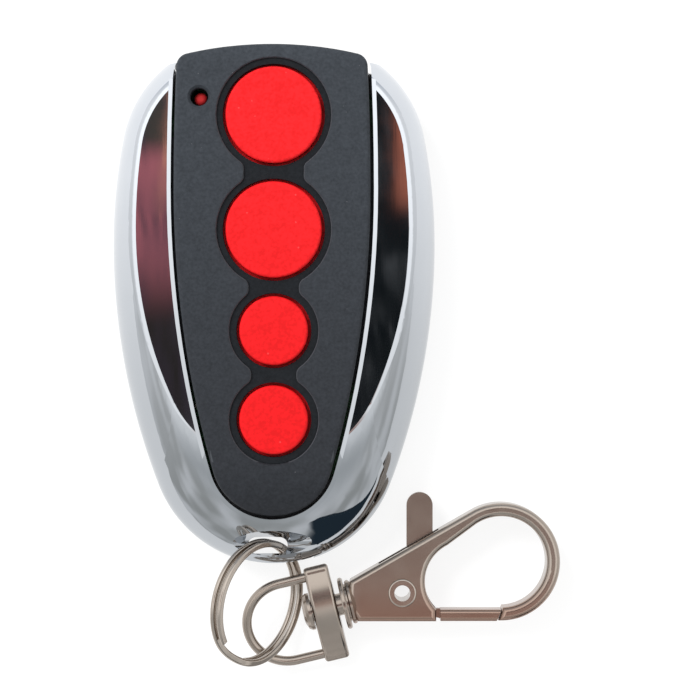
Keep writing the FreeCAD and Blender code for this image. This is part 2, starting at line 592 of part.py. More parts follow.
web = prism(panel_outline(z_plate - s.mat_thick, s.panel_wall + s.cover_gap), s.mat_thick)
web = web.common(crown(s.panel_plate))
for _, _, _, y, radius, _ in keys:
    web = web.cut(post(s.key_x, y, radius + s.key_flange + s.mat_gap, 0, FAR))
for x, y in screw_places:
    web = web.cut(post(x, y, s.screw_radius + s.front_post_wall + s.mat_gap, 0, FAR))
web = web.cut(post(led_x, s.led_y, s.led_hole_radius + s.led_gap, 0, FAR))
feature("key_mat", web)


# Keys and switches

for number, (name, y, radius, _, _, _) in enumerate(keys, start=1):
    key = body_with(name)
    disc(key, name + "_stem", "sizes.key_stem_radius", "sizes.key_stem", Z_PLUNGER_TOP)
    disc(key, name + "_flange", radius + " + sizes.key_flange", "sizes.key_flange_thick", Z_FLANGE)
    cap = disc(key, name + "_cap", radius, "sizes.key_flange_gap + sizes.panel_plate + sizes.key_proud",
               Z_FLANGE + " + sizes.key_flange_thick")
    document.recompute()
    top_edges = ["Edge%d" % (index + 1) for index, edge in enumerate(cap.Shape.Edges)
                 if edge.BoundBox.ZMin > level(Z_KEY_TOP) - 0.01]
    rounding = key.newObject("PartDesign::Fillet", name + "_round")
    rounding.Base = (cap, top_edges)
    rounding.setExpression("Radius", "sizes.key_round")
    place(key, "sizes.key_x", y, "0")

    base_height = "sizes.switch_height - sizes.switch_plate_thick"
    well_radius = "sizes.plunger_radius + sizes.plunger_gap"
    side = "sizes.switch_side"
    base = block("switch_base_block_%d" % number, side, side, base_height, "sizes.key_x", y, Z_BOARD_TOP)
    well = cylinder("switch_well_%d" % number, well_radius, base_height, "sizes.key_x", y,
                    Z_BOARD_TOP + " + sizes.switch_base_gap")
    register(cut_from("switch_base_cut_%d" % number, base, well), "switch_base_%d" % number)

    sheet_metal = block("switch_plate_block_%d" % number, side, side, "sizes.switch_plate_thick",
                        "sizes.key_x", y, Z_BOARD_TOP + " + " + base_height)
    bore = cylinder("switch_bore_%d" % number, well_radius, "sizes.switch_height", "sizes.key_x", y,
                    Z_BOARD_TOP)
    legs = [sheet_metal]
    for across in ("-", ""):
        for along in ("-", ""):
            legs.append(block(
                "switch_leg_%d_%d" % (number, len(legs)), "sizes.leg_reach", "sizes.leg_width",
                "sizes.leg_thick",
                "sizes.key_x + %s(sizes.switch_side / 2 + sizes.leg_reach / 2)" % across,
                "%s + %ssizes.leg_spread" % (y, along), Z_BOARD_TOP))
            legs.append(block(
                "switch_strap_%d_%d" % (number, len(legs)), "sizes.leg_thick", "sizes.leg_width",
                "sizes.switch_height",
                "sizes.key_x + %s(sizes.switch_side / 2 + sizes.leg_thick / 2)" % across,
                "%s + %ssizes.leg_spread" % (y, along), Z_BOARD_TOP))
    metal = fused("switch_metal_%d" % number, legs)
    register(cut_from("switch_plate_cut_%d" % number, metal, bore), "switch_plate_%d" % number)

    plunger = body_with("switch_plunger_%d" % number)
    disc(plunger, "plunger_disc_%d" % number, "sizes.plunger_radius",
         "sizes.plunger_depth + sizes.plunger_stand", Z_SWITCH_TOP + " - sizes.plunger_depth")
    place(plunger, "sizes.key_x", y, "0")


# Circuit board

board_outline = cavity(s.cover_gap + s.tray_wall + s.board_gap).slice(UP, z_board_top)[0]
board = Part.Face(board_outline).extrude(V(0, 0, -s.board_thick))
board = board.common(room(-FAR, FAR, s.board_toe_y, s.board_top_y, 0, FAR))
for x, y in screw_places:
    board = board.cut(post(x, y, s.screw_radius + s.screw_gap, 0, FAR))
for side in (-1, 1):
    board = board.cut(post(level(LED_X) + side * s.led_pitch, level(LED_Y),
                           s.led_lead_radius + s.pilot_gap, 0, FAR))
antenna_y0, antenna_y1 = s.antenna_start_y, s.antenna_start_y + s.antenna_length
for y in (antenna_y0, antenna_y1):
    board = board.cut(post(s.antenna_x, y, s.antenna_radius + s.pilot_gap, 0, FAR))
feature("circuit_board", board)


# Parts on the board

ic_rows = 7
ic_parts = [block("ic_block", "sizes.ic_width", "sizes.ic_length", "sizes.ic_height",
                  "sizes.ic_x", "sizes.ic_y", Z_BOARD_TOP + " + sizes.chip_stand")]
for across in ("-", ""):
    for row in range(ic_rows):
        step = "sizes.ic_y + (%d) * sizes.ic_pitch" % (row - ic_rows // 2)
        reach = "sizes.ic_lead_reach"
        name = "%s%d" % ("left" if across else "right", row)
        ic_parts.append(block(
            "ic_foot_" + name, reach, "sizes.lead_width", "sizes.lead_thick",
            "sizes.ic_x + %s(sizes.ic_width / 2 + %s / 2)" % (across, reach), step, Z_BOARD_TOP))
        ic_parts.append(block(
            "ic_knee_" + name, "sizes.lead_thick", "sizes.lead_width", "sizes.ic_height / 2",
            "sizes.ic_x + %s(sizes.ic_width / 2 + sizes.lead_thick / 2)" % across, step,
            Z_BOARD_TOP))
register(fused("ic_fused", ic_parts), "encoder_ic")

register(block("saw_block", "sizes.saw_side", "sizes.saw_side", "sizes.saw_height",
               "sizes.saw_x", "sizes.saw_y", Z_BOARD_TOP), "saw_resonator")

trim_rotor = cylinder("trim_rotor", "sizes.trim_rotor_radius",
                      "sizes.trim_height + sizes.trim_rotor_height",
                      "sizes.saw_x", "sizes.trim_y", Z_BOARD_TOP)
trim_base = block("trim_base", "sizes.trim_width", "sizes.trim_length", "sizes.trim_height",
                  "sizes.saw_x", "sizes.trim_y", Z_BOARD_TOP)
trim_slot = block("trim_slot", "sizes.trim_rotor_radius * 1.5", "sizes.trim_slot_width",
                  "sizes.trim_height",
                  "sizes.saw_x", "sizes.trim_y", Z_BOARD_TOP + " + sizes.trim_height")
register(cut_from("trim_cut", fused("trim_fused", [trim_base, trim_rotor]), trim_slot),
         "trim_capacitor")

transistor_parts = [block(
    "transistor_block", "sizes.transistor_width", "sizes.transistor_length",
    "sizes.transistor_height", "sizes.saw_x", "sizes.transistor_y",
    Z_BOARD_TOP + " + sizes.chip_stand")]
for index, (across, along) in enumerate([("-", "+"), ("-", "-"), ("+", "+ 0 *")]):
    transistor_parts.append(block(
        "transistor_leg_%d" % index, "sizes.lead_width * 2", "sizes.lead_width",
        "sizes.lead_thick * 2", "sizes.saw_x %s sizes.transistor_row" % across,
        "sizes.transistor_y %s sizes.transistor_row" % along, Z_BOARD_TOP))
register(fused("transistor_fused", transistor_parts), "transistor")

chip_places = [
    ("sizes.ic_x", "sizes.ic_y + sizes.chip_row"),
    ("sizes.ic_x", "sizes.ic_y + sizes.chip_row + sizes.chip_step"),
    ("sizes.ic_x", "sizes.ic_y - sizes.chip_row"),
    ("sizes.saw_x", "sizes.transistor_y - sizes.chip_drop"),
    ("sizes.saw_x + sizes.chip_shift", "sizes.transistor_y - sizes.chip_drop - sizes.chip_step"),
    ("sizes.chip_side_x", "sizes.key_4_y - sizes.chip_drop"),
]
chips = [block("chip_%d" % index, "sizes.chip_length", "sizes.chip_width", "sizes.chip_height",
               x, y, Z_BOARD_TOP) for index, (x, y) in enumerate(chip_places)]
chip_group = document.addObject("Part::Compound", "chip_compound")
chip_group.Links = chips
register(chip_group, "chip_parts")

antenna_z = z_board_top + s.antenna_rise
bend = s.antenna_bend
soft = bend * (1 - math.sqrt(0.5))


def antenna_at(y, z):
    return V(s.antenna_x, y, z)


antenna_path = Part.Wire([
    Part.makeLine(antenna_at(antenna_y0, z_board), antenna_at(antenna_y0, antenna_z - bend)),
    Part.Arc(antenna_at(antenna_y0, antenna_z - bend), antenna_at(antenna_y0 + soft, antenna_z - soft),
             antenna_at(antenna_y0 + bend, antenna_z)).toShape(),
    Part.makeLine(antenna_at(antenna_y0 + bend, antenna_z), antenna_at(antenna_y1 - bend, antenna_z)),
    Part.Arc(antenna_at(antenna_y1 - bend, antenna_z), antenna_at(antenna_y1 - soft, antenna_z - soft),
             antenna_at(antenna_y1, antenna_z - bend)).toShape(),
    Part.makeLine(antenna_at(antenna_y1, antenna_z - bend), antenna_at(antenna_y1, z_board)),
])
antenna_section = Part.Wire([Part.Circle(antenna_at(antenna_y0, z_board), UP, s.antenna_radius).toShape()])
feature("antenna_loop", antenna_path.makePipeShell([antenna_section], True, False))

led = body_with("status_led")
disc(led, "led_rim", "sizes.led_radius + sizes.led_rim", "sizes.led_rim_thick", Z_BOARD_TOP)
led_barrel = disc(led, "led_barrel", "sizes.led_radius", "sizes.led_height", Z_BOARD_TOP)
document.recompute()
led_round = led.newObject("PartDesign::Fillet", "led_round")
led_round.Base = (led_barrel, ["Edge%d" % (index + 1) for index, edge in enumerate(led_barrel.Shape.Edges)
                               if edge.BoundBox.ZMin > z_board_top + s.led_height - 0.01])
led_round.setExpression("Radius", "sizes.led_radius * 0.8")
place(led, LED_X, LED_Y, "0")

lead_length = "sizes.board_thick + sizes.led_lead_length"
leads = [cylinder("led_lead_%d" % index, "sizes.led_lead_radius", lead_length,
                  LED_X + " %s sizes.led_pitch" % sign, LED_Y,
                  Z_BOARD_TOP + " - " + "(" + lead_length + ")") for index, sign in enumerate("-+")]
lead_group = document.addObject("Part::Compound", "lead_compound")
lead_group.Links = leads
register(lead_group, "led_leads")


# Coin cell and contacts

cell = body_with("coin_cell")
disc(cell, "cell_can", "sizes.cell_radius", "sizes.cell_thick - sizes.cell_step", Z_CELL)
disc(cell, "cell_cap", "sizes.cell_radius - sizes.cell_step_in", "sizes.cell_step",
     Z_CELL_TOP + " - sizes.cell_step")
place(cell, "0", "sizes.cell_y", "0")

z_cell = level(Z_CELL)
z_cell_top = level(Z_CELL_TOP)
strip_half = s.rib_slot / 2 - s.strip_gap
thick = s.contact_thick
clip_x = s.cell_radius + s.rib_gap
strip_y0, strip_y1 = s.cell_y - strip_half, s.cell_y + strip_half
clip = room(s.strip_start, clip_x + thick, strip_y0, strip_y1, s.floor_wall, s.floor_wall + thick)
clip = clip.fuse(room(clip_x, clip_x + thick, strip_y0, strip_y1, s.floor_wall, z_board))
clip = clip.fuse(room(clip_x, clip_x + s.clip_length, strip_y0, strip_y1, z_board - thick, z_board))
feature("positive_contact", clip)

finger_top = [V(-s.finger_root_x, 0, z_board), V(-s.finger_bend_x, 0, z_board),
              V(s.finger_touch_x, 0, z_cell_top + thick), V(s.finger_end_x, 0, z_cell_top + thick)]
finger_under = [point - V(0, 0, thick) for point in reversed(finger_top)]
finger = Part.Face(Part.makePolygon(finger_top + finger_under + finger_top[:1]))
finger.translate(V(0, s.cell_y - s.finger_width / 2, 0))
feature("negative_contact", finger.extrude(V(0, s.finger_width, 0)))


# Split ring: two flat turns joined by a short step from one to the other

ring_centre = V(s.ring_x, s.ring_y, s.ring_height)
turn = math.radians(s.ring_turn_left)
tilt = math.radians(s.ring_tilt)
ring_m = V(math.sin(turn), math.cos(turn), 0)
ring_q = V(math.cos(turn) * math.cos(tilt), -math.sin(turn) * math.cos(tilt), -math.sin(tilt))
ring_n = ring_m.cross(ring_q)
half_pitch = (s.ring_turn_thick + s.ring_turn_gap) / 2


def on_ring(degrees, lift):
    """A point on the ring's mean circle, lifted along its axis."""
    a = math.radians(degrees)
    flat = ring_m * (s.ring_radius * math.cos(a)) + ring_q * (s.ring_radius * math.sin(a))
    return ring_centre + flat + ring_n * lift


def along_ring(degrees):
    a = math.radians(degrees)
    return ring_q * math.cos(a) - ring_m * math.sin(a)


def ring_turn(start, end, lift):
    """One flat turn as arcs of a quarter turn or less."""
    count = max(2, math.ceil((end - start) / 90.0))
    step = (end - start) / count
    return [Part.Arc(on_ring(start + k * step, lift), on_ring(start + (k + 0.5) * step, lift),
                     on_ring(start + (k + 1) * step, lift)).toShape() for k in range(count)]


def arc_from(point, direction, end):
    """The arc that leaves a point in a direction and reaches an end."""
    chord = end.sub(point)
    across = chord.sub(direction * chord.dot(direction))
    side = across * (1.0 / across.Length)
    radius = chord.Length ** 2 / (2 * chord.dot(side))
    centre = point + side * radius
    swing = 2 * math.atan2(chord.dot(side), chord.dot(direction))
    middle = centre - side * (radius * math.cos(swing / 2)) + direction * (radius * math.sin(swing / 2))
    return Part.Arc(point, middle, end).toShape()


def biarc(start, start_dir, end, end_dir):
    """Two arcs that join two points smoothly."""
    gap = end.sub(start)
    both = start_dir + end_dir
    a = both.dot(both) - 4
    b = -2 * gap.dot(both)
    c = gap.dot(gap)
    reach = (-b - math.sqrt(b * b - 4 * a * c)) / (2 * a)
    if reach < 0:
        reach = (-b + math.sqrt(b * b - 4 * a * c)) / (2 * a)
    joint = (start + start_dir * reach + end - end_dir * reach) * 0.5
    first = arc_from(start, start_dir, joint)
    second = arc_from(end, end_dir * -1, joint)
    return [first, second]


cross_from = s.ring_cross_place - s.ring_cross_angle
cross_to = s.ring_cross_place + s.ring_cross_angle
ring_edges = ring_turn(cross_to - FULL_TURN, cross_from, -half_pitch)
ring_edges += biarc(on_ring(cross_from, -half_pitch), along_ring(cross_from),
                    on_ring(cross_to, half_pitch), along_ring(cross_to))
ring_edges += ring_turn(cross_to, cross_from + FULL_TURN, half_pitch)
ring_path = Part.Wire(Part.__sortEdges__(ring_edges))
ring_start = on_ring(cross_to - FULL_TURN, -half_pitch)
outward = (ring_start - ring_centre + ring_n * half_pitch).normalize()
half_strip, half_thick = s.ring_strip / 2, s.ring_turn_thick / 2
flat_half = half_strip - half_thick


def ring_section_point(out, up):
    return ring_start + outward * out + ring_n * up


ring_section = Part.Wire([
    Part.makeLine(ring_section_point(-flat_half, -half_thick), ring_section_point(flat_half, -half_thick)),
    Part.Arc(ring_section_point(flat_half, -half_thick), ring_section_point(half_strip, 0),
             ring_section_point(flat_half, half_thick)).toShape(),
    Part.makeLine(ring_section_point(flat_half, half_thick), ring_section_point(-flat_half, half_thick)),
    Part.Arc(ring_section_point(-flat_half, half_thick), ring_section_point(-half_strip, 0),
             ring_section_point(-flat_half, -half_thick)).toShape(),
])
feature("split_ring", ring_path.makePipeShell([ring_section], True, False))
least = min((on_ring(a, -half_pitch) - on_ring(a, half_pitch)).Length for a in range(0, FULL_TURN, 10))
print("split ring: least gap between its turns %.3f mm" % (least - s.ring_turn_thick))


# Bail, drawn with its swivel axis on local X and turned into place

def swivel_frame(tilted):
    """The place of the swivel: local X is the swivel's axis towards the clasp."""
    tip = FreeCAD.Rotation(V(1, 0, 0), tilted)
    swing = FreeCAD.Rotation(UP, s.swivel_turn)
    return FreeCAD.Placement(V(s.swivel_x, s.swivel_y, s.swivel_height), swing.multiply(tip))


def rod(edges, start, direction, radius):
    """A round wire along edges that follow one another."""
    section = Part.Wire([Part.Circle(start, direction, radius).toShape()])
    return Part.Wire(edges).makePipeShell([section], True, False)


half_boss = s.boss_thick / 2
boss_w, boss_h = s.boss_half_width, s.boss_half_height
end_h = s.loop_rod_radius + BITE
boss_outline = Part.Wire([
    Part.Arc(V(0, -boss_w, end_h), V(0, 0, boss_h), V(0, boss_w, end_h)).toShape(),
    Part.Arc(V(0, boss_w, end_h), V(0, boss_w + end_h, 0), V(0, boss_w, -end_h)).toShape(),
    Part.Arc(V(0, boss_w, -end_h), V(0, 0, -boss_h), V(0, -boss_w, -end_h)).toShape(),
    Part.Arc(V(0, -boss_w, -end_h), V(0, -boss_w - end_h, 0), V(0, -boss_w, end_h)).toShape(),
])
boss = Part.Face(boss_outline).extrude(V(s.boss_thick, 0, 0))
boss.translate(V(-half_boss, -s.bail_shift, 0))
boss = boss.makeFillet(s.boss_round, boss.Edges)
loop_w = s.loop_half_width
bow_x = -(s.loop_reach - loop_w)
loop_edges = [
    Part.makeLine(V(0, loop_w, 0), V(bow_x, loop_w, 0)),
    Part.Arc(V(bow_x, loop_w, 0), V(bow_x - loop_w, 0, 0), V(bow_x, -loop_w, 0)).toShape(),
    Part.makeLine(V(bow_x, -loop_w, 0), V(0, -loop_w, 0)),
]
loop = rod(loop_edges, V(0, loop_w, 0), V(1, 0, 0), s.loop_rod_radius)
bore = Part.makeCylinder(s.post_radius + s.post_gap, 2 * s.boss_thick, V(-s.boss_thick, 0, 0), V(1, 0, 0))
loop.translate(V(0, -s.bail_shift, 0))
bail = boss.fuse(loop).cut(bore)
feature("bail", bail, swivel_frame(s.bail_tilt))


# Swivel post with its head inside the bail, and the clasp's collar

def turned(profile):
    """A solid of revolution about local X from points of (x, radius)."""
    points = [V(x, r, 0) for x, r in profile]
    points = [V(profile[0][0], 0, 0)] + points + [V(profile[-1][0], 0, 0)]
    face = Part.Face(Part.makePolygon(points + [points[0]]))
    return face.revolve(V(0, 0, 0), V(1, 0, 0), FULL_TURN)


head_x = -half_boss - s.swivel_gap
washer_x = half_boss + s.collar_stand
body_x = washer_x + s.washer_thick + s.collar_length
pin = turned([
    (head_x - s.head_thick, s.head_radius * 0.6), (head_x - s.head_thick * 0.7, s.head_radius * 0.9),
    (head_x - s.head_thick * 0.35, s.head_radius), (head_x, s.head_radius),
    (head_x, s.post_radius), (body_x, s.post_radius)])
feature("swivel_rivet", pin, swivel_frame(0.0))

band_x = washer_x + s.washer_thick + s.collar_groove
washer_end, edge = washer_x + s.washer_thick, s.collar_edge
collar = turned([
    (washer_x, s.washer_radius - edge), (washer_x + edge, s.washer_radius),
    (washer_end - edge, s.washer_radius), (washer_end, s.washer_radius - edge),
    (washer_end, s.collar_groove_radius), (band_x, s.collar_groove_radius),
    (band_x, s.collar_radius - edge), (band_x + edge, s.collar_radius),
    (band_x + s.collar_band, s.collar_radius), (body_x, s.collar_neck_radius),
    (body_x + s.collar_root, s.collar_neck_radius)])
collar.Placement = swivel_frame(0.0)


# Clasp body

z_low = s.swivel_height - s.clasp_thick / 2
z_mid = s.swivel_height
hook = (s.hook_x, s.hook_y)
inner_r = s.hook_radius - s.hook_width
back_angle = math.atan2(s.clasp_back_y - s.hook_y, s.clasp_back_x - s.hook_x)
mouth_angle = math.acos((s.mouth_x - s.mouth_slant - s.hook_x) / s.hook_radius)
mouth_inner = math.acos((s.mouth_x - s.hook_x) / inner_r)


def at(centre, radius, angle):
    return V(centre[0] + radius * math.cos(angle), centre[1] + radius * math.sin(angle), z_low)


back = at(hook, s.hook_radius, back_angle)
tip_out = at(hook, s.hook_radius, -mouth_angle)
tip_in = at(hook, inner_r, -mouth_inner)
inner_start = at(hook, inner_r, back_angle + math.radians(s.hook_back_lead))
shoulder = V(s.clasp_shoulder_x, s.clasp_shoulder_y, z_low)
slope = (back - shoulder).normalize()
elbow = shoulder + slope * ((s.elbow_x - shoulder.x) / slope.x) - V(0, s.elbow_depth, 0)
root_in = V(s.gate_root_x, s.clasp_bottom_y + s.gate_width, z_low)
throat = V(s.throat_x, s.throat_y, z_low)
heel = V(s.clasp_heel_x, s.clasp_bottom_y, z_low)
neck_low = V(s.neck_x, s.neck_low_y, z_low)
neck_high = V(s.neck_x, s.neck_high_y, z_low)
clasp_outline = Part.Wire([
    Part.makeLine(shoulder, back),
    Part.Arc(back, at(hook, s.hook_radius, 0.0), tip_out).toShape(),
    Part.makeLine(tip_out, tip_in),
    Part.Arc(tip_in, at(hook, inner_r, 0.0), inner_start).toShape(),
    Part.makeLine(inner_start, elbow),
    Part.Arc(elbow, throat, root_in).toShape(),
    Part.makeLine(root_in, V(s.gate_root_x, s.clasp_bottom_y, z_low)),
    Part.makeLine(V(s.gate_root_x, s.clasp_bottom_y, z_low), heel),
    Part.makeLine(heel, neck_low),
    Part.makeLine(neck_low, neck_high),
    Part.makeLine(neck_high, shoulder),
])
clasp = Part.Face(clasp_outline).extrude(V(0, 0, s.clasp_thick))
rim_edges = [edge for edge in clasp.Edges if edge.BoundBox.ZLength < 0.01]
clasp = clasp.makeFillet(s.clasp_round, rim_edges)
clasp = clasp.fuse(collar)
half_slot = s.lever_slot / 2
clasp = clasp.cut(room(s.lever_slot_x, s.lever_slot_x + s.lever_slot_length, -FAR, 0,
                       z_mid - half_slot, z_mid + half_slot))
post_bore = Part.makeCylinder(s.post_radius, body_x + 1.0, V(0, 0, 0), V(1, 0, 0))
post_bore = post_bore.common(Part.makeBox(body_x, FAR, FAR, V(0, -FAR / 2, -FAR / 2)))
post_bore.Placement = swivel_frame(0.0)
clasp = clasp.cut(post_bore)
eyelet_r = s.eyelet_hole + s.eyelet_wall
clasp = clasp.cut(post(s.lever_x, s.lever_y, eyelet_r, -1, FAR))
feature("clasp_body", clasp)


# Lever: hub, thumb tab and gate in one stamped piece

lever_low = z_mid - half_slot + s.lever_rest
lever_z1 = lever_low + s.lever_thick
tab_high = s.tab_top_y - s.tab_half_width
tab_left, tab_right = s.tab_x - s.tab_half_width, s.tab_x + s.tab_half_width
tab = Part.Face(Part.makePolygon([
    V(tab_left, tab_high, lever_low), V(tab_left, s.lever_y, lever_low),
    V(s.lever_x, s.lever_y, lever_low), V(s.lever_x + s.lever_hub_radius, s.lever_y, lever_low),
    V(tab_right - s.tab_waist, s.tab_waist_y, lever_low), V(tab_right, s.tab_narrow_y, lever_low),
    V(tab_right, tab_high, lever_low), V(tab_left, tab_high, lever_low)]))
lever = tab.extrude(V(0, 0, s.lever_thick))
lever = lever.fuse(post(s.tab_x, tab_high, s.tab_half_width, lever_low, lever_z1))
lever = lever.fuse(post(s.lever_x, s.lever_y, s.lever_hub_radius, lever_low, lever_z1))
gate_low = s.clasp_bottom_y
gate_high = gate_low + s.gate_width
web_end = s.gate_start_x + s.gate_lap
lever_web = Part.Face(Part.makePolygon([
    V(s.lever_x, s.lever_y - s.lever_hub_radius, lever_low), V(web_end, gate_low, lever_low),
    V(web_end, gate_high, lever_low), V(s.web_inner_x, gate_high, lever_low),
    V(s.lever_x + s.lever_hub_radius, s.lever_y, lever_low), V(s.lever_x, s.lever_y, lever_low),
    V(s.lever_x, s.lever_y - s.lever_hub_radius, lever_low)]))
lever = lever.fuse(lever_web.extrude(V(0, 0, s.lever_thick)))
half_gate = s.gate_thick / 2
gate_end = s.mouth_x - s.gate_gap
gate_low_z = z_mid - half_gate
gate = Part.Face(Part.makePolygon([
    V(s.gate_start_x, gate_low, gate_low_z), V(gate_end - s.gate_slant, gate_low, gate_low_z),
    V(gate_end, gate_high, gate_low_z), V(s.gate_start_x, gate_high, gate_low_z),
    V(s.gate_start_x, gate_low, gate_low_z)])).extrude(V(0, 0, s.gate_thick))
gate = gate.makeFillet(s.gate_round, [edge for edge in gate.Edges if edge.BoundBox.XLength > 1])
lever = lever.fuse(gate)
lever = lever.cut(post(s.lever_x, s.lever_y, eyelet_r + s.lever_bore_gap, -1, FAR))
feature("gate_lever", lever)


# Eyelet and spring

eyelet = post(s.lever_x, s.lever_y, eyelet_r, z_low, z_low + s.clasp_thick)
flange_r = eyelet_r + s.eyelet_flange
flange_t = s.eyelet_flange_thick
eyelet = eyelet.fuse(post(s.lever_x, s.lever_y, flange_r, z_low - flange_t, z_low))
eyelet = eyelet.fuse(post(s.lever_x, s.lever_y, flange_r, z_low + s.clasp_thick,
                          z_low + s.clasp_thick + flange_t))
flange_low, flange_high = z_low - flange_t, z_low + s.clasp_thick + flange_t
eyelet = eyelet.makeFillet(s.eyelet_round, [
    edge for edge in eyelet.Edges
    if edge.BoundBox.ZMax < flange_low + s.eyelet_round or edge.BoundBox.ZMin > flange_high - s.eyelet_round])
eyelet = eyelet.cut(post(s.lever_x, s.lever_y, s.eyelet_hole, -1, FAR))
feature("lever_eyelet", eyelet)

# A hairpin of wire that hooks round the eyelet and runs up both its sides
spring_z = (lever_z1 + z_mid + half_slot) / 2
spring_lean = math.radians(s.spring_lean)
spring_from, spring_to = math.pi + spring_lean, 2 * math.pi - spring_lean
spring_edges = [arc((s.lever_x, s.lever_y), s.spring_coil, spring_from, spring_to, spring_z)]
bend_start, bend_end = spring_edges[0].Vertexes[0].Point, spring_edges[0].Vertexes[-1].Point
leg_left = V(-math.sin(spring_lean), math.cos(spring_lean), 0) * s.spring_leg
leg_right = V(math.sin(spring_lean), math.cos(spring_lean), 0) * s.spring_leg
spring_edges.insert(0, Part.makeLine(bend_start + leg_left, bend_start))
spring_edges.append(Part.makeLine(bend_end, bend_end + leg_right))
feature("gate_spring", rod(spring_edges, bend_start + leg_left, leg_left, s.spring_wire))


# Check and write

document.recompute()
for thing in document.Objects:
    if {"Invalid", "Error"} & set(thing.State):
        raise RuntimeError("%s did not recompute" % thing.Label)
for thing in nodes:
    if thing.Shape.isNull() or not thing.Shape.isValid() or not thing.Shape.Solids:
        raise RuntimeError("%s has no valid solid" % thing.Label)

os.makedirs("parts", exist_ok=True)
for thing in nodes:
    thing.Shape.exportStep("parts/%s.step" % thing.Label)
print("%d nodes written" % len(nodes))
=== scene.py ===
import json
import math

import bpy
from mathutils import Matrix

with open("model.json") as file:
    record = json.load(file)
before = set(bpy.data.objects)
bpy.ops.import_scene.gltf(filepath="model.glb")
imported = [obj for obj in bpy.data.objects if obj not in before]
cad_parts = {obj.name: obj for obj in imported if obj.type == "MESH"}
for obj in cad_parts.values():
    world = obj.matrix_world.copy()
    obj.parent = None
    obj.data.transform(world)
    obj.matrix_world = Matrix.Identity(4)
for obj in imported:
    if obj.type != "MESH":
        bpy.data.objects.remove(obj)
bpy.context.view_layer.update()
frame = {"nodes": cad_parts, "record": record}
parts = frame["nodes"]
mm = 0.001


# Camera: straight above the remote, as in the photograph

camera_data = bpy.data.cameras.new("photo_camera")
camera_data.sensor_width = 36.0
camera_data.lens = 112.6
camera_data.clip_start = 0.01
camera = bpy.data.objects.new("photo_camera", camera_data)
camera.location = (8.84 * mm, -5.39 * mm, 260 * mm)
bpy.context.scene.collection.objects.link(camera)
bpy.context.scene.camera = camera
bpy.context.scene.view_settings.view_transform = "Standard"


# Shared effects, each a node group with its own sockets

def effect(name, inputs, outputs):
    """An empty node group with number inputs and the outputs named."""
    group = bpy.data.node_groups.new(name, "ShaderNodeTree")
    for label, value in inputs:
        socket = group.interface.new_socket(label, in_out="INPUT", socket_type="NodeSocketFloat")
        socket.default_value = value
    for label in outputs:
        group.interface.new_socket(label, in_out="OUTPUT", socket_type="NodeSocketFloat")
    source = group.nodes.new("NodeGroupInput")
    result = group.nodes.new("NodeGroupOutput")
    return group, source, result


def object_place(tree):
    """The object's own coordinates, which move with its body."""
    return tree.nodes.new("ShaderNodeTexCoord").outputs["Object"]


def noise(tree, place, size, detail=2.0):
    """Noise at a place; the size is a number or a socket."""
    node = tree.nodes.new("ShaderNodeTexNoise")
    node.inputs["Detail"].default_value = detail
    tree.links.new(place, node.inputs["Vector"])
    if isinstance(size, float):
        node.inputs["Scale"].default_value = size
    else:
        tree.links.new(size, node.inputs["Scale"])
    return node.outputs["Fac"]


def math_node(tree, kind, first, second=None, third=None):
    """One Math node; each entry is a socket or a number."""
    node = tree.nodes.new("ShaderNodeMath")
    node.operation = kind
    for index, entry in enumerate((first, second, third)):
        if isinstance(entry, (int, float)):
            node.inputs[index].default_value = entry
        elif entry is not None:
            tree.links.new(entry, node.inputs[index])
    return node.outputs[0]


def ramp_value(tree, value, low, high, out_low=0.0, out_high=1.0):
    """Maps a value from one range to another with soft ends."""
    node = tree.nodes.new("ShaderNodeMapRange")
    node.interpolation_type = "SMOOTHSTEP"
    tree.links.new(value, node.inputs["Value"])
    for label, number in (("From Min", low), ("From Max", high), ("To Min", out_low), ("To Max", out_high)):
        node.inputs[label].default_value = number
    return node.outputs["Result"]


def mould_grain():
    """Fine pitted texture of moulded plastic."""
    group, source, result = effect("mould_grain", [("Scale", 6000.0)], ["Tone", "Height"])
    place = object_place(group)
    fine = noise(group, place, source.outputs["Scale"], 3.0)
    coarse = noise(group, place, 900.0, 1.0)
    group.links.new(ramp_value(group, fine, 0.35, 0.65), result.inputs["Height"])
    group.links.new(math_node(group, "MULTIPLY_ADD", fine, 0.7, math_node(group, "MULTIPLY", coarse, 0.3)),
                    result.inputs["Tone"])
    return group


def dust_specks():
    """Scattered small specks."""
    group, source, result = effect("dust_specks", [("Scale", 900.0), ("Size", 0.12)], ["Mask"])
    place = object_place(group)
    cells = group.nodes.new("ShaderNodeTexVoronoi")
    group.links.new(place, cells.inputs["Vector"])
    group.links.new(source.outputs["Scale"], cells.inputs["Scale"])
    near = math_node(group, "LESS_THAN", cells.outputs["Distance"], source.outputs["Size"])
    some = math_node(group, "GREATER_THAN", noise(group, place, 700.0, 0.0), 0.58)
    group.links.new(math_node(group, "MULTIPLY", near, some), result.inputs["Mask"])
    return group


def handling_marks():
    """Faint smears and hairlines on polished metal."""
    group, source, result = effect("handling_marks", [("Smear", 250.0), ("Hairline", 2500.0)],
                                   ["Smear", "Height"])
    place = object_place(group)
    smear = noise(group, place, source.outputs["Smear"], 3.0)
    stretched = group.nodes.new("ShaderNodeMapping")
    stretched.inputs["Rotation"].default_value = (0.0, 0.0, math.radians(35))
    stretched.inputs["Scale"].default_value = (1.0, 0.06, 1.0)
    group.links.new(place, stretched.inputs["Vector"])
    hair = noise(group, stretched.outputs["Vector"], source.outputs["Hairline"], 2.0)
    group.links.new(smear, result.inputs["Smear"])
    group.links.new(hair, result.inputs["Height"])
    return group


GRAIN = mould_grain()
SPECKS = dust_specks()
MARKS = handling_marks()


# Materials

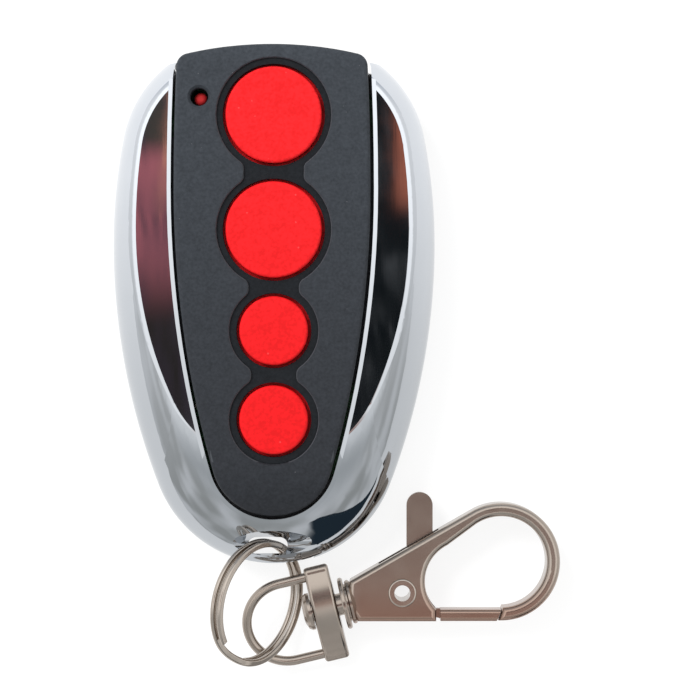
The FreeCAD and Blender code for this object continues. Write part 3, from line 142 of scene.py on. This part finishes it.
def new_material(name, roughness, metallic=0.0):
    """A material with its node tree and its shader."""
    material = bpy.data.materials.new(name)
    material.use_nodes = True
    shader = material.node_tree.nodes["Principled BSDF"]
    shader.inputs["Roughness"].default_value = roughness
    shader.inputs["Metallic"].default_value = metallic
    return material, material.node_tree, shader


def place_effect(tree, group, **values):
    """Puts one of the shared effects into a material."""
    node = tree.nodes.new("ShaderNodeGroup")
    node.node_tree = group
    for label, value in values.items():
        node.inputs[label].default_value = value
    return node


def mixed(tree, share, first, second):
    """Mixes two colours; each is a colour or a socket."""
    node = tree.nodes.new("ShaderNodeMix")
    node.data_type = "RGBA"
    tree.links.new(share, node.inputs[0])
    for index, entry in ((6, first), (7, second)):
        if isinstance(entry, tuple):
            node.inputs[index].default_value = (*entry, 1.0)
        else:
            tree.links.new(entry, node.inputs[index])
    return node.outputs[2]


def bumped(tree, shader, height, depth, strength=1.0):
    """Raises the surface by a height, no deeper than the depth."""
    node = tree.nodes.new("ShaderNodeBump")
    node.inputs["Strength"].default_value = strength
    node.inputs["Distance"].default_value = depth
    tree.links.new(height, node.inputs["Height"])
    tree.links.new(node.outputs["Normal"], shader.inputs["Normal"])


def axes_of(tree):
    """The object's own coordinates: across, along and up."""
    node = tree.nodes.new("ShaderNodeSeparateXYZ")
    tree.links.new(object_place(tree), node.inputs[0])
    return node.outputs


def between(tree, value, low, high):
    """One where a value lies between two others, and nothing elsewhere."""
    return math_node(tree, "MULTIPLY", math_node(tree, "GREATER_THAN", value, low),
                     math_node(tree, "LESS_THAN", value, high))


def within(tree, value, middle, half):
    """One where a value lies less than half a span from the middle."""
    away = math_node(tree, "ABSOLUTE", math_node(tree, "SUBTRACT", value, middle))
    return math_node(tree, "LESS_THAN", away, half)


def polished(name, dark, light, roughness, smear_size=250.0, depth=0.002, gloss_drift=0.3):
    """Plated metal whose tone and gloss drift a little with handling."""
    material, tree, shader = new_material(name, roughness, 1.0)
    marks = place_effect(tree, MARKS, Smear=smear_size)
    tree.links.new(mixed(tree, marks.outputs["Smear"], dark, light), shader.inputs["Base Color"])
    rough = ramp_value(tree, marks.outputs["Smear"], 0.3, 0.7, roughness * (1 - gloss_drift),
                       roughness * (1 + gloss_drift))
    tree.links.new(rough, shader.inputs["Roughness"])
    bumped(tree, shader, marks.outputs["Height"], depth * mm, 0.3)
    return material


def moulded(name, dark, light, roughness, grain=6000.0, depth=0.02, strength=0.4):
    """Moulded plastic or rubber with a fine pitted surface."""
    material, tree, shader = new_material(name, roughness)
    texture = place_effect(tree, GRAIN, Scale=grain)
    tree.links.new(mixed(tree, texture.outputs["Tone"], dark, light), shader.inputs["Base Color"])
    bumped(tree, shader, texture.outputs["Height"], depth * mm, strength)
    return material


# Where the painted shade, highlights and reflections change, in the part's own frame
PANEL_ENDS = (-26 * mm, 31 * mm)
RECESS_LEVELS = (11.75 * mm, 11.9 * mm)
RECESS_MIDDLE = 4.5 * mm
RECESS_HALF_LENGTH = 23.4 * mm
LIP_LEVELS = (12.09 * mm, 12.19 * mm)
LIP_MIDDLE = 4.0 * mm
LIP_HALF_LENGTH = 22.1 * mm
LIP_HALF_WIDTH = 7.0 * mm
KEY_ROW_ENDS = (-18 * mm, 26 * mm)
LENS_LEVELS = (8.0 * mm, 10.6 * mm)
CHROME_DARK_REFLECTION_ALONG = (28 * mm, -18 * mm)
CHROME_DARK_REFLECTION_ACROSS = (4 * mm, 16 * mm)
NICKEL_SHADE_ALONG = (-30 * mm, -37.5 * mm)
NICKEL_SHADE_ACROSS = (8.2 * mm, 10.5 * mm)


def panel_plastic():
    """Black textured panel with painted shade, darker towards the key-ring end and in the recess round the
    keys, and a painted highlight on the recess's lip.
    """
    material, tree, shader = new_material("panel_black", 0.5)
    shader.inputs["Specular IOR Level"].default_value = 0.15
    texture = place_effect(tree, GRAIN, Scale=2800.0)
    across, along, up = axes_of(tree)
    low_face = mixed(tree, texture.outputs["Tone"], (0.010, 0.011, 0.013), (0.038, 0.042, 0.050))
    high_face = mixed(tree, texture.outputs["Tone"], (0.015, 0.018, 0.022), (0.063, 0.072, 0.085))
    # Painted shade: the face darkens towards the key-ring end and is lighter towards the far end.
    face = mixed(tree, ramp_value(tree, along, *PANEL_ENDS), low_face, high_face)
    # Painted shade: the recess round the keys is darker.
    recess_shade_mask = math_node(tree, "MULTIPLY", between(tree, up, *RECESS_LEVELS),
                     within(tree, along, RECESS_MIDDLE, RECESS_HALF_LENGTH))
    recess_shade = mixed(tree, texture.outputs["Tone"], (0.001, 0.002, 0.003), (0.016, 0.019, 0.023))
    base = mixed(tree, recess_shade_mask, face, recess_shade)
    # Painted highlight: a paler band on the recess's lip.
    near = math_node(tree, "MULTIPLY", within(tree, across, 0.0, LIP_HALF_WIDTH),
                     within(tree, along, LIP_MIDDLE, LIP_HALF_LENGTH))
    lip_highlight = math_node(tree, "MULTIPLY", between(tree, up, *LIP_LEVELS), near)
    base = mixed(tree, lip_highlight, base, (0.055, 0.060, 0.068))
    specks = place_effect(tree, SPECKS, Scale=1100.0, Size=0.05)
    base = mixed(tree, math_node(tree, "MULTIPLY", specks.outputs["Mask"], 0.35), base, (0.3, 0.3, 0.32))
    tree.links.new(base, shader.inputs["Base Color"])
    bumped(tree, shader, texture.outputs["Height"], 0.03 * mm, 0.5)
    return material


def key_plastic():
    """Red key caps, with painted shade darkening them a little towards the lower keys."""
    material, tree, shader = new_material("key_red", 0.5)
    shader.inputs["Specular IOR Level"].default_value = 0.2
    _, along, _ = axes_of(tree)
    # Painted shade: the keys darken towards the lower end of the row.
    drift = ramp_value(tree, along, *KEY_ROW_ENDS)
    red = mixed(tree, drift, (0.78, 0.008, 0.011), (0.88, 0.015, 0.019))
    texture = place_effect(tree, GRAIN, Scale=2600.0)
    mottle = ramp_value(tree, texture.outputs["Tone"], 0.40, 0.62, 0.0, 0.5)
    red = mixed(tree, mottle, red, (0.52, 0.004, 0.005))
    specks = place_effect(tree, SPECKS, Scale=900.0, Size=0.10)
    red = mixed(tree, math_node(tree, "MULTIPLY", specks.outputs["Mask"], 0.18), red, (0.90, 0.22, 0.22))
    tree.links.new(red, shader.inputs["Base Color"])
    bumped(tree, shader, texture.outputs["Height"], 0.01 * mm, 0.3)
    return material


def lens_red():
    """Diffused red lens, with painted shade darkening it towards its foot."""
    material, tree, shader = new_material("lens_red", 0.5)
    _, _, up = axes_of(tree)
    # Painted shade: the lens darkens towards its foot.
    base = mixed(tree, ramp_value(tree, up, *LENS_LEVELS), (0.12, 0.006, 0.008), (0.52, 0.022, 0.024))
    tree.links.new(base, shader.inputs["Base Color"])
    shader.inputs["Specular IOR Level"].default_value = 0.25
    texture = place_effect(tree, GRAIN, Scale=9000.0)
    bumped(tree, shader, texture.outputs["Height"], 0.01 * mm, 0.3)
    return material


def board_mask():
    """Green solder mask with tracks showing as lighter bands."""
    material, tree, shader = new_material("board_green", 0.35)
    tracks = tree.nodes.new("ShaderNodeTexVoronoi")
    tracks.feature = "DISTANCE_TO_EDGE"
    tracks.inputs["Scale"].default_value = 350.0
    tree.links.new(object_place(tree), tracks.inputs["Vector"])
    line = math_node(tree, "LESS_THAN", tracks.outputs["Distance"], 0.05)
    tree.links.new(mixed(tree, line, (0.012, 0.10, 0.035), (0.03, 0.20, 0.07)), shader.inputs["Base Color"])
    bumped(tree, shader, line, 0.03 * mm, 0.6)
    return material


def chrome_plating():
    """Bright chrome, with a painted dark reflection greying it towards the key-ring end and a little
    towards the right.
    """
    material = polished("chrome_plate", (0.635, 0.665, 0.71), (0.675, 0.705, 0.75), 0.03, depth=0.0005)
    tree = material.node_tree
    shader = tree.nodes["Principled BSDF"]
    bright = shader.inputs["Base Color"].links[0].from_socket
    across, along, _ = axes_of(tree)
    # Painted dark reflection: the chrome's colour is dimmed towards the key-ring end and a little towards
    # the right.
    dark_reflection = ramp_value(tree, along, *CHROME_DARK_REFLECTION_ALONG, 0.0, 0.42)
    dark_reflection = math_node(tree, "ADD", dark_reflection, ramp_value(tree, across, *CHROME_DARK_REFLECTION_ACROSS, 0.0, 0.08))
    tree.links.new(mixed(tree, dark_reflection, bright, (0.16, 0.17, 0.17)), shader.inputs["Base Color"])
    return material


def cast_nickel():
    """Plated casting: smooth, with painted brown shade towards its lower edge."""
    material = polished("nickel_cast", (0.365, 0.312, 0.268), (0.395, 0.342, 0.298), 0.22, 350.0,
                        depth=0.0006, gloss_drift=0.06)
    tree = material.node_tree
    shader = tree.nodes["Principled BSDF"]
    plain = shader.inputs["Base Color"].links[0].from_socket
    across, along, _ = axes_of(tree)
    # Painted shade: a darker brown towards the lower edge.
    brown_shade = ramp_value(tree, along, *NICKEL_SHADE_ALONG, 0.0, 0.9)
    brown_shade = math_node(tree, "MULTIPLY", brown_shade, ramp_value(tree, across, *NICKEL_SHADE_ACROSS))
    tree.links.new(mixed(tree, brown_shade, plain, (0.345, 0.225, 0.175)), shader.inputs["Base Color"])
    return material


chrome = chrome_plating()
nickel = cast_nickel()
ring_nickel = polished("ring_nickel", (0.40, 0.350, 0.305), (0.50, 0.445, 0.395), 0.18, 400.0,
                       depth=0.001, gloss_drift=0.1)
steel = polished("plain_steel", (0.55, 0.55, 0.55), (0.68, 0.68, 0.67), 0.25)
screw_zinc = polished("screw_zinc", (0.40, 0.40, 0.42), (0.52, 0.52, 0.53), 0.3)
contact_strip = polished("contact_strip", (0.72, 0.62, 0.42), (0.80, 0.72, 0.52), 0.2)
copper = polished("copper_wire", (0.72, 0.40, 0.24), (0.82, 0.52, 0.34), 0.2)
black_tray = moulded("tray_black", (0.030, 0.031, 0.035), (0.060, 0.061, 0.067), 0.55)
black_body = moulded("component_black", (0.02, 0.02, 0.02), (0.04, 0.04, 0.04), 0.6, 9000.0)
red_web = moulded("web_red", (0.42, 0.012, 0.016), (0.55, 0.02, 0.024), 0.8)
pale_ceramic = moulded("component_pale", (0.62, 0.58, 0.50), (0.74, 0.71, 0.63), 0.5)

finishes = {
    "chrome_plate": chrome, "nickel_cast": nickel, "nickel_steel": ring_nickel, "black_abs": black_tray,
    "red_abs": key_plastic(), "red_rubber": red_web, "red_lens": lens_red(), "board_green": board_mask(),
    "black_mould": black_body, "steel_can": steel, "white_ceramic": pale_ceramic, "copper_wire": copper,
    "spring_brass": contact_strip, "screw_steel": screw_zinc,
}
slot_of = {entry["node"]: entry["material_slot"] for entry in frame["record"]["subparts"]}
panel_black = panel_plastic()
for name, part in parts.items():
    part.data.materials.clear()
    part.data.materials.append(panel_black if name == "front_cover" else finishes[slot_of[name]])


# Floor: white to the camera and in mirror images, with the part's shadow on it

FLOOR_SIZE = 1.2
FLOOR_DROP = 0.02 * mm
FLOOR_GLOW = 0.82
# An oval of the floor near the clasp is painted dim for mirror images only, a painted dark reflection on
# the metal: half sizes across and along in metres, the shift of its middle in half sizes, where its border
# lies and how dim it is
OVAL_HALVES = (0.026, 0.017)
OVAL_SHIFTS = (-0.8, 3.5)
OVAL_BORDER = (0.8, 1.1)
OVAL_DIMMING = 0.78

bpy.ops.object.select_all(action="DESELECT")
bpy.ops.mesh.primitive_plane_add(size=FLOOR_SIZE, location=(0, 0, -FLOOR_DROP))
floor = bpy.context.object
floor.name = "floor"
floor_white = bpy.data.materials.new("floor_white")
floor_white.use_nodes = True
tree = floor_white.node_tree
tree.nodes.clear()
rays = tree.nodes.new("ShaderNodeLightPath")
seen = math_node(tree, "MAXIMUM", rays.outputs["Is Camera Ray"], math_node(
    tree, "MAXIMUM", rays.outputs["Is Glossy Ray"], rays.outputs["Is Transmission Ray"]))
pale = tree.nodes.new("ShaderNodeBsdfDiffuse")
pale.inputs["Color"].default_value = (0.8, 0.8, 0.8, 1.0)
shade = tree.nodes.new("ShaderNodeBsdfDiffuse")
shade.inputs["Color"].default_value = (0.25, 0.25, 0.25, 1.0)
glow = tree.nodes.new("ShaderNodeEmission")
away = tree.nodes.new("ShaderNodeCombineXYZ")
for index, (place, half, shift) in enumerate(zip(axes_of(tree), OVAL_HALVES, OVAL_SHIFTS)):
    tree.links.new(math_node(tree, "MULTIPLY_ADD", place, 1 / half, shift), away.inputs[index])
length = tree.nodes.new("ShaderNodeVectorMath")
length.operation = "LENGTH"
tree.links.new(away.outputs[0], length.inputs[0])
# Painted dark reflection: the oval dims the floor for glossy rays only.
oval = ramp_value(tree, length.outputs["Value"], *OVAL_BORDER, OVAL_DIMMING, 0.0)
dim = math_node(tree, "MULTIPLY", oval, rays.outputs["Is Glossy Ray"])
tree.links.new(math_node(tree, "SUBTRACT", FLOOR_GLOW, dim), glow.inputs["Strength"])
both = tree.nodes.new("ShaderNodeAddShader")
tree.links.new(shade.outputs[0], both.inputs[0])
tree.links.new(glow.outputs[0], both.inputs[1])
choice = tree.nodes.new("ShaderNodeMixShader")
tree.links.new(seen, choice.inputs[0])
tree.links.new(pale.outputs[0], choice.inputs[1])
tree.links.new(both.outputs[0], choice.inputs[2])
output = tree.nodes.new("ShaderNodeOutputMaterial")
tree.links.new(choice.outputs[0], output.inputs["Surface"])
floor.data.materials.append(floor_white)


# World: a pale studio with the dark camera side overhead. A direction has its east, north and high
# parts, and meets a ceiling one unit up at u and v.

LOWEST_HIGH = 0.05
OVERHEAD_BORDER = (0.965, 0.988)
DIFFUSE_GREY = (0.78, 0.78, 0.78)

world = bpy.data.worlds.new("studio")
bpy.context.scene.world = world
world.use_nodes = True
tree = world.node_tree
tree.nodes.clear()
direction = tree.nodes.new("ShaderNodeTexCoord").outputs["Generated"]
split = tree.nodes.new("ShaderNodeSeparateXYZ")
tree.links.new(direction, split.inputs[0])
east, north, high = split.outputs
u, v = (math_node(tree, "DIVIDE", part, math_node(tree, "MAXIMUM", high, LOWEST_HIGH))
        for part in (east, north))


def band(value, low, high_end, soft):
    """One between two values, falling to nothing over a soft border."""
    rise = ramp_value(tree, value, low - soft, low)
    fall = ramp_value(tree, value, high_end, high_end + soft, 1.0, 0.0)
    return math_node(tree, "MULTIPLY", rise, fall)


def streak_noise(slant, stretch, size):
    """Noise drawn out along v, with a slant."""
    place = tree.nodes.new("ShaderNodeCombineXYZ")
    tree.links.new(math_node(tree, "MULTIPLY_ADD", v, slant, u), place.inputs[0])
    tree.links.new(math_node(tree, "MULTIPLY", v, stretch), place.inputs[1])
    return noise(tree, place.outputs[0], size, 1.0)


# What hangs over the remote, as its flat facets show it: left side, right side and key-ring end
left_side = mixed(tree, ramp_value(tree, v, 0.010, 0.052), (0.040, 0.034, 0.032), (0.54, 0.163, 0.19))
left_side = mixed(tree, ramp_value(tree, v, 0.084, 0.098), left_side, (0.069, 0.062, 0.052))
grain = streak_noise(0.06, 0.05, 520.0)
left_side = mixed(tree, ramp_value(tree, grain, 0.44, 0.62, 0.0, 0.75), left_side, (0.070, 0.055, 0.075))
line_place = math_node(tree, "MULTIPLY_ADD", v, -0.089, math_node(tree, "ADD", u, 0.0922))
line = band(math_node(tree, "ABSOLUTE", line_place), -1.0, 0.0004, 0.0008)
line = math_node(tree, "MULTIPLY", line, band(v, 0.075, 0.118, 0.02))
left_side = mixed(tree, line, left_side, (0.72, 0.30, 0.20))
streaks = ramp_value(tree, streak_noise(0.10, 0.10, 420.0), 0.50, 0.72)
right_side = mixed(tree, streaks, (0.010, 0.013, 0.015), (0.085, 0.088, 0.092))
copper_edge = math_node(tree, "MULTIPLY", ramp_value(tree, u, 0.0195, 0.0225), band(v, 0.072, 0.118, 0.012))
right_side = mixed(tree, copper_edge, right_side, (0.466, 0.149, 0.096))
over_remote = mixed(tree, ramp_value(tree, u, -0.05, -0.02), left_side, right_side)
over_clasp = mixed(tree, ramp_value(tree, v, -0.095, -0.075), (0.47, 0.25, 0.20), (0.48, 0.47, 0.48))
overhead = mixed(tree, ramp_value(tree, v, -0.066, -0.030), over_clasp, over_remote)

far_side = ramp_value(tree, north, -0.75, 0.30)
drift = ramp_value(tree, noise(tree, direction, 3.5, 1.0), 0.35, 0.65)
low_sky = mixed(tree, drift, (0.50, 0.51, 0.50), (0.86, 0.87, 0.88))
low_sky = mixed(tree, far_side, low_sky, (1.0, 1.0, 1.0))
low_sky = mixed(tree, ramp_value(tree, north, 0.45, 0.90), low_sky, (0.62, 0.66, 0.72))
ring_light = mixed(tree, ramp_value(tree, north, -0.50, -0.12), (0.62, 0.64, 0.65), (1.5, 1.5, 1.5))
studio = mixed(tree, ramp_value(tree, high, 0.55, 0.80), low_sky, ring_light)
bearing = math_node(tree, "ARCTAN2", north, east)
patch_top = ramp_value(tree, bearing, -0.55, -1.25, 0.02, 0.55)
patch = math_node(tree, "MULTIPLY", band(bearing, -1.26, -0.60, 0.08),
                  math_node(tree, "LESS_THAN", high, patch_top))
studio = mixed(tree, patch, studio, (0.025, 0.040, 0.055))
studio = mixed(tree, ramp_value(tree, high, *OVERHEAD_BORDER), studio, overhead)
rays = tree.nodes.new("ShaderNodeLightPath")
lit = mixed(tree, rays.outputs["Is Diffuse Ray"], studio, DIFFUSE_GREY)
lit = mixed(tree, rays.outputs["Is Camera Ray"], lit, (1.0, 1.0, 1.0))
back = tree.nodes.new("ShaderNodeBackground")
tree.links.new(lit, back.inputs["Color"])
output = tree.nodes.new("ShaderNodeOutputWorld")
tree.links.new(back.outputs[0], output.inputs["Surface"])


# Lamp, left out of mirror images, where its hard edge would show on the chrome

lamp_data = bpy.data.lights.new("upper_left_lamp", "AREA")
lamp_data.size = 0.3
lamp_data.energy = 4.0
lamp = bpy.data.objects.new("upper_left_lamp", lamp_data)
lamp.location = (-0.35, 0.35, 0.5)
lamp.rotation_euler = lamp.location.normalized().to_track_quat("Z", "Y").to_euler()
lamp.visible_glossy = False
bpy.context.scene.collection.objects.link(lamp)
